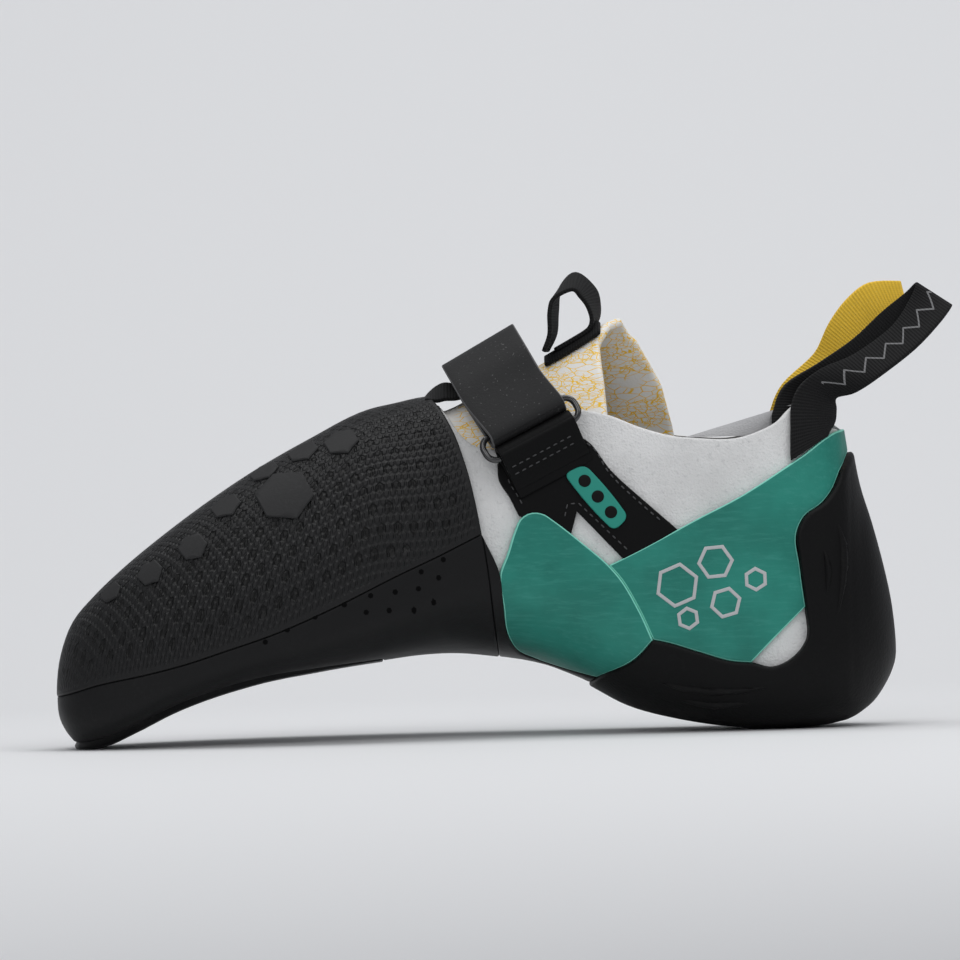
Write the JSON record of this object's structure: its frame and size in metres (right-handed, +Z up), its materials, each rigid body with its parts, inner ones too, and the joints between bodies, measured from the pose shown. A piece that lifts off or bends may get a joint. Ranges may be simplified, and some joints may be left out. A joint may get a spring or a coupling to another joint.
{
  "type": "climbing shoe",
  "caption": "Down-turned climbing shoe for the right foot with a rubber toe cap, a moulded heel, a ring strap and webbing pull loops.",
  "frame": {"origin": "middle of the flat on which the heel rests, on the floor", "axes": "+X from the toe to the heel, +Y to the outer side of the foot, +Z up"},
  "size_m": [0.2553, 0.0843, 0.1303],
  "materials": {
    "upper_leather": "sueded",
    "lining_fabric": "matte",
    "tongue_fabric": "printed cloth",
    "sole_rubber": "smooth",
    "rand_rubber": "smooth",
    "patch_rubber": "moulded net pattern",
    "heel_rubber": "fine grain",
    "side_panel": "satin",
    "anchor_leather": "smooth",
    "strap_synthetic": "matte synthetic leather",
    "ring_metal": "black gloss",
    "badge_plastic": "satin",
    "webbing_black": "ribbed webbing",
    "webbing_yellow": "ribbed webbing"
  },
  "bodies": {
    "root": {"upper": "upper_leather", "insole": "lining_fabric", "tongue": "tongue_fabric", "outsole": "sole_rubber", "toe_rand": "rand_rubber", "toe_patch": "patch_rubber", "arch_rand": "rand_rubber", "heel_cup": "heel_rubber", "panel_front_inner": "side_panel", "panel_front_outer": "side_panel", "panel_rear_inner": "side_panel", "panel_rear_outer": "side_panel", "ring_anchor": "anchor_leather", "strap_base": "anchor_leather", "strap": "strap_synthetic", "strap_ring": "ring_metal", "badge": "badge_plastic", "heel_loop_inner": "webbing_black", "heel_loop_outer": "webbing_yellow", "tongue_pull_loop": "webbing_black", "keeper_webbing": "webbing_black"}
  },
  "joints": []
}
